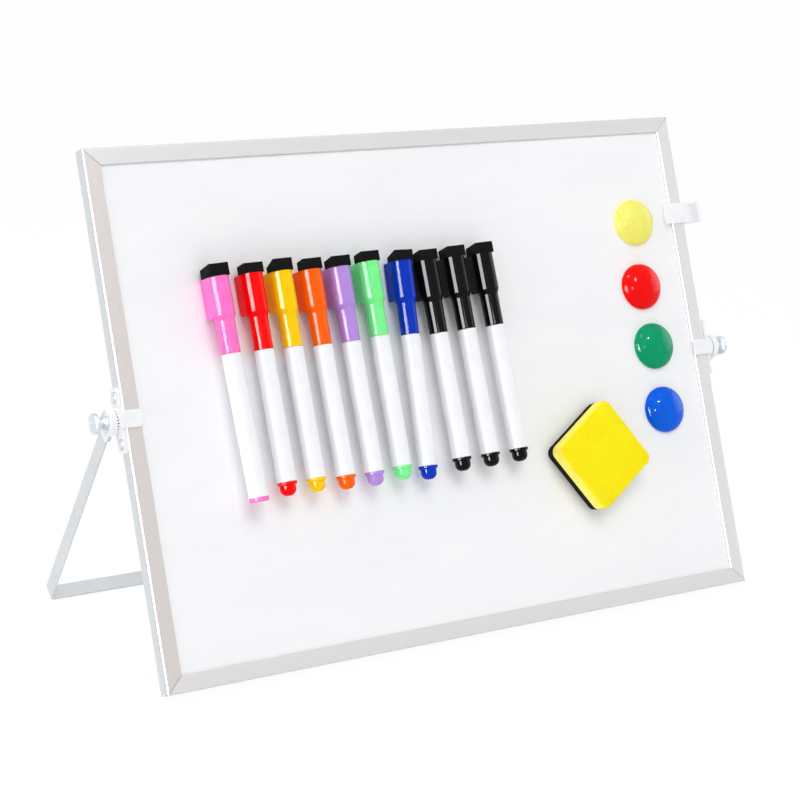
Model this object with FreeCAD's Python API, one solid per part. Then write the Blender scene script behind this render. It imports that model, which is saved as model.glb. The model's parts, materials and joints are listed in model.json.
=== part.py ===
import FreeCAD, Part
import math
import os

# Magnetic desk whiteboard on a folding easel leg, with its pens, magnets and eraser.
# Board frame while building: x to the right, y backwards, z up the board. The frame's
# front face is y = 0, its bottom edge z = 0 and its middle x = 0. At the end everything
# is leant back so that the frame's lower edge and the leg both stand on z = 0.
# All lengths are millimetres and all angles are degrees.

# Whole board
board_width = 406.4
board_height = 304.8
leg_open_angle = 57.1

# Frame rails, an aluminium channel with mitred corners
rail_face = 9.6
rail_depth = 10.5
rail_wall = 1.3
rail_edge_round = 1.2
rail_lip_round = 0.3
mitre_gap = 0.08

# Panel held in the channel: steel writing sheets on a light core
sheet_thickness = 0.4
panel_fit = 0.2
key_thickness = 2.8
key_leg = 24.0
key_fit = 0.1

# Pivot bracket screwed to each side rail
pivot_rise = 0.7
plate_thickness = 2.0
plate_length = 36.5
plate_corner = 3.8
tongue_reach = 10.1
tongue_width = 9.7
tongue_thickness = 2.2
tongue_corner = 2.2
tongue_edge_round = 0.7
tongue_outer_share = 0.6
boss_radius = 7.4
boss_reach = 4.4
screw_spacing = 26.2
screw_recess_radius = 3.25
screw_recess_depth = 1.2
screw_head_radius = 2.8
screw_head_height = 1.7
screw_head_round = 0.7
screw_slot_length = 3.2
screw_slot_width = 0.7
screw_slot_depth = 0.8
screw_shank_radius = 1.45
screw_tip_gap = 0.4
insert_radius = 2.9
insert_length = 3.2

# Serrated rings between bracket and leg head
tooth_count = 28
tooth_depth = 0.55
tooth_width = 0.95
tooth_inner_radius = 4.9
ring_gap = 0.1

# Leg head, the moulded piece at the top of each leg side
head_radius = 7.5
head_edge_round = 0.8
head_inner_wall = 2.1
head_skin = 1.0
head_skin_length = 11.3
head_skin_top_width = 13.0
head_skin_end_width = 10.8
head_skin_taper_start = 3.0
head_skin_corner = 1.0
head_tab_width = 9.9
head_tab_length = 12.0
head_tab_corner = 1.0
head_bore_radius = 2.3

# Leg, one flat steel strip bent to a U
strip_width = 9.5
strip_thickness = 1.2
strip_fit = 0.05
strip_bend_round = 1.6
leg_length = 162.7

# Clamping screw and its washer
thread_radius = 2.0
thread_fit = 0.05
washer_radius = 4.15
washer_thickness = 0.8
seat_gap = 0.05
collar_radius = 3.8
collar_length = 1.4
neck_radius = 2.6
neck_length = 1.8
knob_radius = 6.0
knob_cone_length = 1.4
knob_cone_radius = 3.6
knob_rim_length = 2.3
knob_chamfer = 0.4
thread_end_gap = 0.3

# Pen clip snapped over the right rail
clip_from_top = 57.4
clip_height = 12.9
clip_front_thickness = 1.75
clip_front_width = 17.7
clip_fit = 0.3
clip_side_wall = 1.7
clip_back_wall = 1.5
clip_back_reach = 8.0
clip_sheet_gap = 0.3
cradle_radius = 4.2
cradle_wall = 1.5
cradle_depth = 1.5
cradle_lip = 3.0
clip_corner = 0.5

# Round magnets: coloured cap over a ferrite disc
magnet_radius = 14.7
magnet_height = 8.2
magnet_rim = 1.0
magnet_edge_round = 0.35
ferrite_radius = 10.0
ferrite_height = 3.6
magnet_place_shares = {
    "yellow": (0.40059, 0.77887),
    "red": (0.39419, 0.64337),
    "green": (0.39911, 0.51706),
    "blue": (0.39887, 0.38255),
}

# Eraser: foam block on a felt pad and a magnetic sheet
eraser_side = 50.0
eraser_corner = 5.0
eraser_turn = 33.9
eraser_place_shares = (0.25049, 0.30807)
eraser_foam = 10.4
eraser_foam_round = 1.1
eraser_layer = 2.25
eraser_layer_inset = 0.35

# Marker: cap with a magnet housing that stands on the sheet, barrel, nib and tail plug
axis_height = 9.5
barrel_radius = 5.65
barrel_bore = 4.6
neck_in_cap_radius = 4.5
neck_in_cap_length = 7.0
holder_radius = 3.3
holder_tip_radius = 2.3
holder_length = 9.0
holder_bore = 1.7
nib_radius = 1.6
nib_length = 15.0
nib_stand_out = 4.5
nib_round = 1.1
reservoir_radius = 4.3
reservoir_length = 62.0
reservoir_start = 8.0
plug_flange_radius = 5.7
plug_flange_length = 1.9
plug_dome_radius = 4.7
plug_dome_length = 6.2
plug_dome_round = 3.9
plug_stem_length = 4.0
flat_plug_length = 2.6
small_round = 0.4
press_gap = 0.04
cap_seam = 0.15
cap_foot_radius = 5.5
cap_waist_radius = 5.6
cap_lower_length = 18.9
cap_step_length = 4.0
cap_upper_radius = 6.75
cap_upper_length = 21.0
cap_bore_radius = 4.6
cap_bore_length = 33.0
housing_corner = 1.5
housing_foot_round = 2.4
housing_start_share = 0.5
pocket_half_width = 4.4
pocket_floor = 0.9
pocket_height = 2.6
pocket_length = 14.0
pocket_magnet_radius = 4.1
pocket_magnet_thickness = 2.2
felt_inset = 0.7
felt_back_gap = 2.0
felt_corner_cut = 2.3
felt_bevel_run = 5.0
felt_bevel_drop = 2.6

# Where each cap's foot is, as shares of the board's width from its middle and of its height
marker_place_shares = {
    "pink": (-0.33637, 0.59580),
    "red": (-0.28568, 0.59613),
    "yellow": (-0.23967, 0.59514),
    "orange": (-0.19291, 0.59285),
    "lavender": (-0.14641, 0.59318),
    "green": (-0.09867, 0.59810),
    "blue": (-0.04798, 0.59383),
    "black_a": (0.00025, 0.59055),
    "black_b": (0.04897, 0.59252),
    "black_c": (0.09867, 0.59383),
}
# Length below the cap, felt height, lean to the right, tail plug
marker_sizes = {
    "pink": (84.5, 7.3, -1.9, "flat"),
    "red": (83.8, 5.8, -0.8, "domed"),
    "yellow": (83.7, 7.1, -0.8, "domed"),
    "orange": (84.1, 6.4, -0.9, "domed"),
    "lavender": (84.5, 6.3, -0.9, "domed"),
    "green": (84.9, 6.0, -0.6, "domed"),
    "blue": (86.0, 6.3, 1.9, "domed"),
    "black_a": (83.0, 6.2, -1.3, "domed"),
    "black_b": (83.5, 6.4, -1.6, "domed"),
    "black_c": (83.5, 6.6, -1.8, "domed"),
}

# Overrun of every cutting tool, and the shortest edge that an outline keeps
overrun = 1.0
least_edge = 0.001

# Worked out from the sizes above
half_width = board_width / 2
pivot_y = rail_depth / 2
pivot_z = board_height / 2 + pivot_rise
panel_inset = rail_wall + key_thickness + 2 * key_fit
panel_front = rail_wall + panel_fit
panel_back = rail_depth - rail_wall - panel_fit
tooth_plane = half_width + boss_reach
head_face = tooth_plane + ring_gap
slot_inner = head_face + head_inner_wall
slot_outer = slot_inner + strip_thickness + 2 * strip_fit
head_outer = slot_outer + head_skin
strip_inner = slot_inner + strip_fit
strip_outer = strip_inner + strip_thickness
washer_inner = head_outer + seat_gap
washer_outer = washer_inner + washer_thickness
collar_inner = washer_outer + seat_gap
sheet_front = panel_front
clip_bottom = board_height - clip_from_top - clip_height
cap_length = cap_lower_length + cap_step_length + cap_upper_length

Vector = FreeCAD.Vector
x_axis = Vector(1, 0, 0)
y_axis = Vector(0, 1, 0)
z_axis = Vector(0, 0, 1)
origin = Vector(0, 0, 0)
pivot = Vector(0, pivot_y, pivot_z)


# Small helpers for outlines and solids

def unit_towards(start, end):
    length = math.hypot(end[0] - start[0], end[1] - start[1])
    return (end[0] - start[0]) / length, (end[1] - start[1]) / length


def corner_round(before, corner, after):
    """Start, middle and end of the arc that rounds one corner of an outline."""
    a, b, radius = corner
    back = unit_towards(corner, before)
    ahead = unit_towards(corner, after)
    half_angle = math.acos(max(-1, min(1, back[0] * ahead[0] + back[1] * ahead[1]))) / 2
    reach = radius / math.tan(half_angle)
    middle_way = (back[0] + ahead[0], back[1] + ahead[1])
    size = math.hypot(middle_way[0], middle_way[1])
    depth = radius / math.sin(half_angle) - radius
    start = (a + back[0] * reach, b + back[1] * reach)
    end = (a + ahead[0] * reach, b + ahead[1] * reach)
    middle = (a + middle_way[0] / size * depth, b + middle_way[1] / size * depth)
    return start, middle, end


def outline_face(corners, place):
    """Flat face from corners (a, b, rounding), set in space by place(a, b)."""
    rounds = []
    for index, corner in enumerate(corners):
        if corner[2] > 0:
            following = corners[(index + 1) % len(corners)]
            rounds.append(corner_round(corners[index - 1], corner, following))
        else:
            point = (corner[0], corner[1])
            rounds.append((point, None, point))
    edges = []
    for index, (start, middle, end) in enumerate(rounds):
        last = rounds[index - 1][2]
        if math.hypot(start[0] - last[0], start[1] - last[1]) > least_edge:
            edges.append(Part.makeLine(place(*last), place(*start)))
        if middle is not None:
            edges.append(Part.Arc(place(*start), place(*middle), place(*end)).toShape())
    return Part.Face(Part.Wire(edges))


def prism_x(corners, x0, x1):
    """Outline in (y, z), drawn out from x0 to x1."""
    face = outline_face(corners, lambda a, b: Vector(x0, a, b))
    return face.extrude(Vector(x1 - x0, 0, 0))


def prism_y(corners, y0, y1):
    """Outline in (x, z), drawn out from y0 to y1."""
    face = outline_face(corners, lambda a, b: Vector(a, y0, b))
    return face.extrude(Vector(0, y1 - y0, 0))


def prism_z(corners, z0, z1):
    """Outline in (x, y), drawn out from z0 to z1."""
    face = outline_face(corners, lambda a, b: Vector(a, b, z0))
    return face.extrude(Vector(0, 0, z1 - z0))


def rectangle(a0, a1, b0, b1, rounding=0):
    return [(a0, b0, rounding), (a1, b0, rounding), (a1, b1, rounding), (a0, b1, rounding)]


def box(x0, x1, y0, y1, z0, z1):
    return Part.makeBox(x1 - x0, y1 - y0, z1 - z0, Vector(x0, y0, z0))


def rod_x(radius, x0, x1, y=pivot_y, z=pivot_z):
    return Part.makeCylinder(radius, x1 - x0, Vector(x0, y, z), x_axis)


def turned_x(corners):
    """Turned solid on the pivot axis from corners (x, radius, rounding)."""
    face = outline_face(corners, lambda a, b: Vector(a, pivot_y, pivot_z + b))
    return face.revolve(pivot, x_axis, 360)


def soften(solid, radius, chosen):
    """Round the edges of a solid that the chosen test picks."""
    return solid.makeFillet(radius, [edge for edge in solid.Edges if chosen(edge)])


def at_x(value):
    """Test for an edge that lies wholly in the plane x = value."""
    return lambda edge: abs(edge.BoundBox.XMin - value) < least_edge > abs(edge.BoundBox.XMax - value)


def at_y(value):
    return lambda edge: abs(edge.BoundBox.YMin - value) < least_edge > abs(edge.BoundBox.YMax - value)


def at_z(value):
    return lambda edge: abs(edge.BoundBox.ZMin - value) < least_edge > abs(edge.BoundBox.ZMax - value)


def mirrored(solid):
    """The same piece for the left side."""
    return solid.mirror(origin, x_axis)


# Frame, panel and corner keys

def frame_rail(start, along, inward, length):
    """Channel rail from an outer corner of the frame, mitred at both ends."""
    profile = [
        (0, 0, rail_edge_round),
        (0, rail_face, rail_lip_round),
        (rail_wall, rail_face, 0),
        (rail_wall, rail_wall, 0),
        (rail_depth - rail_wall, rail_wall, 0),
        (rail_depth - rail_wall, rail_face, 0),
        (rail_depth, rail_face, rail_lip_round),
        (rail_depth, 0, rail_edge_round),
    ]
    channel = outline_face(profile, lambda a, b: start + y_axis * a + inward * b)
    channel = channel.extrude(along * length)
    mitre = [
        (mitre_gap - overrun, -overrun, 0),
        (length - mitre_gap + overrun, -overrun, 0),
        (length - mitre_gap - rail_face - overrun, rail_face + overrun, 0),
        (mitre_gap + rail_face + overrun, rail_face + overrun, 0),
    ]
    front = start - y_axis * overrun
    keep = outline_face(mitre, lambda a, b: front + along * a + inward * b)
    return channel.common(keep.extrude(y_axis * (rail_depth + 2 * overrun)))


def frame_rails():
    lower_left = Vector(-half_width, 0, 0)
    upper_left = Vector(-half_width, 0, board_height)
    lower_right = Vector(half_width, 0, 0)
    holes = [rod_x(screw_shank_radius + press_gap, half_width - rail_wall - overrun,
                   half_width + overrun, z=z) for z in screw_heights()]
    right = frame_rail(lower_right, z_axis, x_axis * -1, board_height)
    left = frame_rail(lower_left, z_axis, x_axis, board_height)
    for hole in holes:
        right = right.cut(hole)
        left = left.cut(mirrored(hole))
    return {
        "frame_rail_bottom": frame_rail(lower_left, x_axis, z_axis, board_width),
        "frame_rail_top": frame_rail(upper_left, x_axis, z_axis * -1, board_width),
        "frame_rail_left": left,
        "frame_rail_right": right,
    }


def corner_keys():
    """L-shaped keys that join the rails inside their channel."""
    y0 = rail_wall + key_fit
    y1 = rail_depth - rail_wall - key_fit
    outer = rail_wall + key_fit
    inner = outer + key_thickness
    end = outer + key_leg
    shape = [
        (outer, outer, 0),
        (end, outer, 0),
        (end, inner, 0),
        (inner, inner, 0),
        (inner, end, 0),
        (outer, end, 0),
    ]
    keys = []
    for side in (-1, 1):
        for low in (True, False):
            corners = []
            for a, b, rounding in shape:
                x = side * (half_width - a)
                z = b if low else board_height - b
                corners.append((x, z, rounding))
            keys.append(prism_y(corners, y0, y1))
    return Part.makeCompound(keys)


def panel_layer(y0, y1):
    return box(-half_width + panel_inset, half_width - panel_inset, y0, y1,
               panel_inset, board_height - panel_inset)


def panel():
    return {
        "writing_sheet_front": panel_layer(panel_front, panel_front + sheet_thickness),
        "board_core": panel_layer(panel_front + sheet_thickness, panel_back - sheet_thickness),
        "writing_sheet_back": panel_layer(panel_back - sheet_thickness, panel_back),
    }


# Pivot bracket, its screws and its threaded insert

def screw_heights():
    return [pivot_z - screw_spacing / 2, pivot_z + screw_spacing / 2]


def tooth_grooves(plane, into):
    """Radial V-grooves in a ring face at x = plane, cut towards into (+1 or -1)."""
    outer = head_radius + overrun
    face = outline_face(
        [
            (plane - into * overrun, -tooth_width / 2, 0),
            (plane - into * overrun, tooth_width / 2, 0),
            (plane, tooth_width / 2, 0),
            (plane + into * tooth_depth, 0, 0),
            (plane, -tooth_width / 2, 0),
        ],
        lambda a, b: Vector(a, pivot_y + b, pivot_z + tooth_inner_radius),
    )
    groove = face.extrude(Vector(0, 0, outer - tooth_inner_radius))
    grooves = []
    for index in range(tooth_count):
        copy = groove.copy()
        copy.rotate(pivot, x_axis, 360 / tooth_count * index)
        grooves.append(copy)
    return grooves


def bracket_tongue(back_side):
    """Tongue of the bracket over the rail's front face, or over its back."""
    y0 = rail_depth if back_side else -tongue_thickness
    y1 = y0 + tongue_thickness
    x0 = half_width - tongue_reach
    x1 = half_width + boss_reach * tongue_outer_share
    z0 = pivot_z - tongue_width / 2
    z1 = pivot_z + tongue_width / 2
    corners = [(x0, z0, tongue_corner), (x1, z0, 0), (x1, z1, 0), (x0, z1, tongue_corner)]
    tongue = prism_y(corners, y0, y1)
    outer_face = y1 if back_side else y0
    return soften(tongue, tongue_edge_round, at_y(outer_face))


def pivot_bracket():
    """Right-hand bracket; the left one is its mirror image."""
    z0 = pivot_z - plate_length / 2
    z1 = pivot_z + plate_length / 2
    plate_outer = half_width + plate_thickness
    body = prism_x(rectangle(0, rail_depth, z0, z1, plate_corner), half_width, plate_outer)
    body = body.fuse([
        rod_x(boss_radius, half_width, tooth_plane),
        bracket_tongue(False),
        bracket_tongue(True),
    ]).removeSplitter()
    cuts = tooth_grooves(tooth_plane, -1)
    cuts.append(rod_x(insert_radius + press_gap, half_width - overrun, half_width + insert_length))
    cuts.append(rod_x(head_bore_radius, half_width, tooth_plane + overrun))
    for z in screw_heights():
        cuts.append(rod_x(screw_shank_radius + press_gap, half_width - overrun, plate_outer + overrun, z=z))
        cuts.append(rod_x(screw_recess_radius, plate_outer - screw_recess_depth, plate_outer + overrun, z=z))
    return body.cut(cuts)


def bracket_screw(z):
    """Pan-head screw with a cross recess, on the right side."""
    seat = half_width + plate_thickness - screw_recess_depth
    top = seat + screw_head_height
    head = rod_x(screw_head_radius, seat, top, z=z)
    head = soften(head, screw_head_round, at_x(top))
    tip = half_width - panel_inset + screw_tip_gap
    screw = head.fuse(rod_x(screw_shank_radius, tip, seat, z=z))
    long_half = screw_slot_length / 2
    thin_half = screw_slot_width / 2
    floor = top - screw_slot_depth
    across = box(floor, top + overrun, pivot_y - long_half, pivot_y + long_half, z - thin_half, z + thin_half)
    upright = box(floor, top + overrun, pivot_y - thin_half, pivot_y + thin_half, z - long_half, z + long_half)
    return screw.cut([across, upright])


def bracket_screws():
    right = [bracket_screw(z) for z in screw_heights()]
    return Part.makeCompound(right + [mirrored(screw) for screw in right])


def thread_inserts():
    """Threaded insert in each bracket, where the clamping screw bites."""
    insert = rod_x(insert_radius, half_width + press_gap, half_width + insert_length - press_gap)
    insert = insert.cut(rod_x(thread_radius + thread_fit, half_width - overrun, tooth_plane))
    return Part.makeCompound([insert, mirrored(insert)])


# Leg: drawn folded flat along the board, and swung open at the end

def head_skin_outline():
    """Tapered, square-ended outline of the head's outer skin below the pivot."""
    top = head_skin_top_width / 2
    low = head_skin_end_width / 2
    taper_z = pivot_z - head_skin_taper_start
    end_z = pivot_z - head_skin_length
    return [
        (pivot_y - top, pivot_z, 0),
        (pivot_y - top, taper_z, 0),
        (pivot_y - low, end_z, head_skin_corner),
        (pivot_y + low, end_z, head_skin_corner),
        (pivot_y + top, taper_z, 0),
        (pivot_y + top, pivot_z, 0),
    ]


def leg_head():
    """Right-hand head: toothed inner wall, strip pocket and square-ended outer skin."""
    tab = rectangle(pivot_y - head_tab_width / 2, pivot_y + head_tab_width / 2,
                    pivot_z - head_tab_length, pivot_z, head_tab_corner)
    body = soften(rod_x(head_radius, head_face, head_outer), head_edge_round, at_x(head_outer))
    skin = prism_x(head_skin_outline(), slot_outer, head_outer)
    body = body.fuse([
        prism_x(tab, head_face + tooth_depth, slot_inner),
        soften(skin, head_edge_round, at_x(head_outer)),
    ]).removeSplitter()
    half = strip_width / 2 + strip_fit
    pocket = box(slot_inner, slot_outer, pivot_y - half, pivot_y + half,
                 pivot_z - head_tab_length - overrun, pivot_z)
    pocket = pocket.fuse(rod_x(half, slot_inner, slot_outer))
    cuts = tooth_grooves(head_face, 1)
    cuts.append(pocket)
    cuts.append(rod_x(head_bore_radius, head_face - overrun, head_outer + overrun))
    return body.cut(cuts)


def leg_frame():
    """U of flat strip: two sides with round ends and a cross bar behind the board."""
    bottom = pivot_z - leg_length
    outer_round = strip_bend_round + strip_thickness
    corners = [
        (-strip_outer, pivot_z, 0),
        (-strip_outer, bottom, outer_round),
        (strip_outer, bottom, outer_round),
        (strip_outer, pivot_z, 0),
        (strip_inner, pivot_z, 0),
        (strip_inner, bottom + strip_thickness, strip_bend_round),
        (-strip_inner, bottom + strip_thickness, strip_bend_round),
        (-strip_inner, pivot_z, 0),
    ]
    leg = prism_y(corners, pivot_y - strip_width / 2, pivot_y + strip_width / 2)
    end = rod_x(strip_width / 2, strip_inner, strip_outer)
    leg = leg.fuse([end, mirrored(end)]).removeSplitter()
    hole = rod_x(head_bore_radius, strip_inner - overrun, strip_outer + overrun)
    return leg.cut([hole, mirrored(hole)])


# Clamping screw and washer

def lock_washer():
    washer = rod_x(washer_radius, washer_inner, washer_outer)
    return washer.cut(rod_x(head_bore_radius, washer_inner - overrun, washer_outer + overrun))


def thumb_screw():
    """Threaded shank, collar, neck and a wide flat knob, turned in one piece."""
    tip = half_width + thread_end_gap
    neck_start = collar_inner + collar_length
    cone_start = neck_start + neck_length
    rim_start = cone_start + knob_cone_length
    rim_end = rim_start + knob_rim_length
    return turned_x([
        (tip, 0, 0),
        (tip, thread_radius, 0),
        (collar_inner, thread_radius, 0),
        (collar_inner, collar_radius, 0),
        (neck_start, collar_radius, knob_chamfer),
        (neck_start, neck_radius, knob_chamfer),
        (cone_start, neck_radius, knob_chamfer),
        (cone_start, knob_cone_radius, 0),
        (rim_start, knob_radius, knob_chamfer),
        (rim_end, knob_radius, knob_chamfer),
        (rim_end, 0, 0),
    ])


# Pen clip on the right rail

def pen_clip():
    front = -clip_fit - clip_front_thickness
    inner_wall = half_width + clip_fit
    outer_wall = inner_wall + clip_side_wall
    left_end = outer_wall - clip_front_width
    hook_end = half_width - rail_face - clip_fit
    back_inner = rail_depth + clip_fit
    back_outer = back_inner + clip_back_wall
    z0 = clip_bottom
    z1 = clip_bottom + clip_height
    grip = [
        (left_end, front, clip_corner),
        (outer_wall, front, clip_corner),
        (outer_wall, back_outer, clip_corner),
        (half_width - clip_back_reach, back_outer, clip_corner),
        (half_width - clip_back_reach, back_inner, 0),
        (inner_wall, back_inner, 0),
        (inner_wall, -clip_fit, 0),
        (hook_end, -clip_fit, 0),
        (hook_end, sheet_front - clip_sheet_gap, 0),
        (left_end, sheet_front - clip_sheet_gap, clip_corner),
    ]
    centre_x = outer_wall + cradle_radius
    outer = cradle_radius + cradle_wall
    lip_tip = -cradle_lip
    cradle = [
        (centre_x - outer, cradle_depth, 0),
        (centre_x - outer, cradle_depth + outer, outer),
        (centre_x + outer, cradle_depth + outer, outer),
        (centre_x + outer, lip_tip, cradle_wall / 2),
        (centre_x + cradle_radius, lip_tip, cradle_wall / 2),
        (centre_x + cradle_radius, cradle_depth, 0),
    ]
    body = prism_z(grip, z0, z1).fuse(prism_z(cradle, z0, z1))
    space = Part.makeCylinder(cradle_radius, clip_height + 2 * overrun,
                              Vector(centre_x, cradle_depth, z0 - overrun), z_axis)
    return body.cut(space).removeSplitter()


# Accessories on the sheet: drawn with z away from the sheet and y up the board

def onto_sheet(solid, place_shares, turn=0):
    """Turn a piece about its own z, then stand it on the writing sheet at its place."""
    solid = solid.copy()
    solid.rotate(origin, z_axis, turn)
    solid.rotate(origin, x_axis, 90)
    x_share, z_share = place_shares
    solid.translate(Vector(x_share * board_width, sheet_front - seat_gap, z_share * board_height))
    return solid


def magnet_cap():
    """Low dome, part of a ball, over a short rim, open below for the ferrite disc."""
    rise = magnet_height - magnet_rim
    ball_radius = (magnet_radius ** 2 + rise ** 2) / (2 * rise)
    dome = Part.makeCylinder(magnet_radius, magnet_height)
    dome = dome.common(Part.makeSphere(ball_radius, Vector(0, 0, magnet_height - ball_radius)))
    dome = soften(dome, magnet_edge_round, at_z(magnet_rim))
    pocket = Part.makeCylinder(ferrite_radius + press_gap, ferrite_height + press_gap + overrun,
                               Vector(0, 0, -overrun))
    return dome.cut(pocket)


def magnet_ferrite():
    return Part.makeCylinder(ferrite_radius, ferrite_height)


def eraser_block(z0, z1, inset):
    half = eraser_side / 2 - inset
    return prism_z(rectangle(-half, half, -half, half, eraser_corner - inset), z0, z1)


def eraser_pieces():
    foam_start = 2 * eraser_layer
    foam_end = foam_start + eraser_foam
    foam = soften(eraser_block(foam_start, foam_end, 0), eraser_foam_round, at_z(foam_end))
    magnet = eraser_block(0, eraser_layer, eraser_layer_inset)
    felt = eraser_block(eraser_layer, foam_start, 0)
    return {
        "eraser_foam": onto_sheet(foam, eraser_place_shares, eraser_turn),
        "eraser_felt_and_magnet": Part.makeCompound([
            onto_sheet(magnet, eraser_place_shares, eraser_turn),
            onto_sheet(felt, eraser_place_shares, eraser_turn),
        ]),
    }


# Marker: axis along y at z = axis_height, cap above y = 0 and barrel below

def turned_y(corners):
    """Turned solid on the marker's axis from corners (along, radius, rounding)."""
    face = outline_face(corners, lambda a, b: Vector(b, a, axis_height))
    return face.revolve(Vector(0, 0, axis_height), y_axis, 360)


def rod_y(radius, y0, y1):
    return Part.makeCylinder(radius, y1 - y0, Vector(0, y0, axis_height), y_axis)


def tail_plug(style, barrel_end):
    """Coloured plug at the tail: a domed button, or on one marker a flat disc."""
    stem_end = barrel_end + plug_stem_length
    stem = [
        (stem_end, 0, 0),
        (stem_end, barrel_bore - press_gap, 0),
        (barrel_end, barrel_bore - press_gap, 0),
    ]
    if style == "flat":
        tail = barrel_end - flat_plug_length
        button = [
            (barrel_end, barrel_radius, 0),
            (tail, barrel_radius, small_round),
            (tail, 0, 0),
        ]
    else:
        flange = barrel_end - plug_flange_length
        tail = flange - plug_dome_length
        button = [
            (barrel_end, plug_flange_radius, 0),
            (flange, plug_flange_radius, small_round),
            (flange, plug_dome_radius, 0),
            (tail, plug_dome_radius, plug_dome_round),
            (tail, 0, 0),
        ]
    return turned_y(stem + button)


def plug_length(style):
    return flat_plug_length if style == "flat" else plug_flange_length + plug_dome_length


def marker_body(length, style):
    """Barrel with its neck, ink reservoir, nib and tail plug."""
    barrel_end = plug_length(style) - length
    holder_start = neck_in_cap_length
    holder_end = holder_start + holder_length
    nib_end = holder_end + nib_stand_out
    barrel = turned_y([
        (barrel_end, barrel_bore, 0),
        (barrel_end, barrel_radius, 0),
        (0, barrel_radius, small_round),
        (0, neck_in_cap_radius, 0),
        (holder_start, neck_in_cap_radius, small_round),
        (holder_start, holder_radius, 0),
        (holder_end, holder_tip_radius, small_round),
        (holder_end, holder_bore, 0),
        (-reservoir_start + press_gap, holder_bore, 0),
        (-reservoir_start + press_gap, barrel_bore, 0),
    ])
    nib = turned_y([
        (nib_end - nib_length, 0, 0),
        (nib_end - nib_length, nib_radius, 0),
        (nib_end, nib_radius, nib_round),
        (nib_end, 0, 0),
    ])
    reservoir = rod_y(reservoir_radius, -reservoir_start - reservoir_length, -reservoir_start)
    return Part.makeCompound([barrel, reservoir, nib, tail_plug(style, barrel_end)])


def marker_cap():
    """Cap: tapered lower part, step, and a D-shaped upper part that reaches the sheet."""
    step_start = cap_lower_length
    upper_start = step_start + cap_step_length
    housing_start = step_start + cap_step_length * housing_start_share
    shell = turned_y([
        (cap_seam, 0, 0),
        (cap_seam, cap_foot_radius, 0),
        (step_start, cap_waist_radius, 0),
        (upper_start, cap_upper_radius, 0),
        (cap_length, cap_upper_radius, 0),
        (cap_length, 0, 0),
    ])
    top = axis_height + cap_upper_radius
    section = [
        (-cap_upper_radius, 0, housing_corner),
        (cap_upper_radius, 0, housing_corner),
        (cap_upper_radius, axis_height, 0),
        (-cap_upper_radius, axis_height, 0),
    ]
    side = [
        (housing_start, 0, housing_foot_round),
        (cap_length, 0, small_round),
        (cap_length, top, 0),
        (housing_start, top, 0),
    ]
    housing = prism_y(section, housing_start, cap_length)
    housing = housing.common(prism_x(side, -cap_upper_radius - overrun, cap_upper_radius + overrun))
    body = shell.fuse(housing).removeSplitter()
    bore = rod_y(cap_bore_radius, cap_seam - overrun, cap_bore_length)
    pocket = box(-pocket_half_width, pocket_half_width, cap_length - pocket_length,
                 cap_length + overrun, pocket_floor, pocket_floor + pocket_height)
    return body.cut([bore, pocket])


def cap_felt_and_magnet(height):
    """Felt pad glued on the cap's end, and the magnet that it closes in."""
    half = cap_upper_radius - felt_inset
    front = axis_height + half
    pad_end = cap_length + height
    section = [
        (-half, felt_back_gap, 0),
        (half, felt_back_gap, 0),
        (half, front - felt_corner_cut, 0),
        (half - felt_corner_cut, front, 0),
        (felt_corner_cut - half, front, 0),
        (-half, front - felt_corner_cut, 0),
    ]
    side = [
        (cap_length, felt_back_gap - overrun, 0),
        (pad_end - felt_bevel_drop, felt_back_gap - overrun, 0),
        (pad_end - felt_bevel_drop, felt_back_gap, 0),
        (pad_end, felt_back_gap + felt_bevel_run, 0),
        (pad_end, front + overrun, 0),
        (cap_length, front + overrun, 0),
    ]
    pad = prism_y(section, cap_length, pad_end).common(prism_x(side, -half - overrun, half + overrun))
    magnet_y = cap_length - pocket_length + pocket_magnet_radius + press_gap
    magnet = Part.makeCylinder(pocket_magnet_radius, pocket_magnet_thickness,
                               Vector(0, magnet_y, pocket_floor + press_gap), z_axis)
    return Part.makeCompound([pad, magnet])


def marker_pieces():
    pieces = {}
    cap = marker_cap()
    for colour, (length, felt_height, lean, style) in marker_sizes.items():
        place = marker_place_shares[colour]
        pieces["marker_body_" + colour] = onto_sheet(marker_body(length, style), place, -lean)
        pieces["marker_cap_" + colour] = onto_sheet(cap, place, -lean)
        pieces["cap_felt_" + colour] = onto_sheet(cap_felt_and_magnet(felt_height), place, -lean)
    return pieces


# Stance: how far the board leans back when both edges stand on the table

def leg_corners():
    """Low front corner and high back corner of the open leg's bar, as (y, z)."""
    opened = math.radians(leg_open_angle)
    end_y = pivot_y + leg_length * math.sin(opened)
    end_z = pivot_z - leg_length * math.cos(opened)
    across_y = strip_width / 2 * math.cos(opened)
    across_z = strip_width / 2 * math.sin(opened)
    return (end_y - across_y, end_z - across_z), (end_y + across_y, end_z + across_z)


def lean_angle():
    """Lean at which the frame's rounded rear edge and the leg's corner are level."""
    (low_y, low_z), _ = leg_corners()
    run = low_y - rail_depth + rail_edge_round
    rise = low_z - rail_edge_round
    return math.atan2(rise, run) + math.asin(rail_edge_round / math.hypot(run, rise))


def stance():
    """Lean in radians and the shift that puts the origin under the middle of the whole."""
    lean = lean_angle()
    (low_y, low_z), (high_y, high_z) = leg_corners()
    floor = low_z * math.cos(lean) - low_y * math.sin(lean)
    back = high_y * math.cos(lean) + high_z * math.sin(lean)
    front = rail_edge_round * (math.cos(lean) + math.sin(lean) - 1)
    return lean, Vector(0, -(front + back) / 2, -floor)


def to_world(solid, opened=False):
    lean, shift = stance()
    solid = solid.copy()
    if opened:
        solid.rotate(pivot, x_axis, leg_open_angle)
    solid.rotate(origin, x_axis, -math.degrees(lean))
    solid.translate(shift)
    return solid


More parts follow.
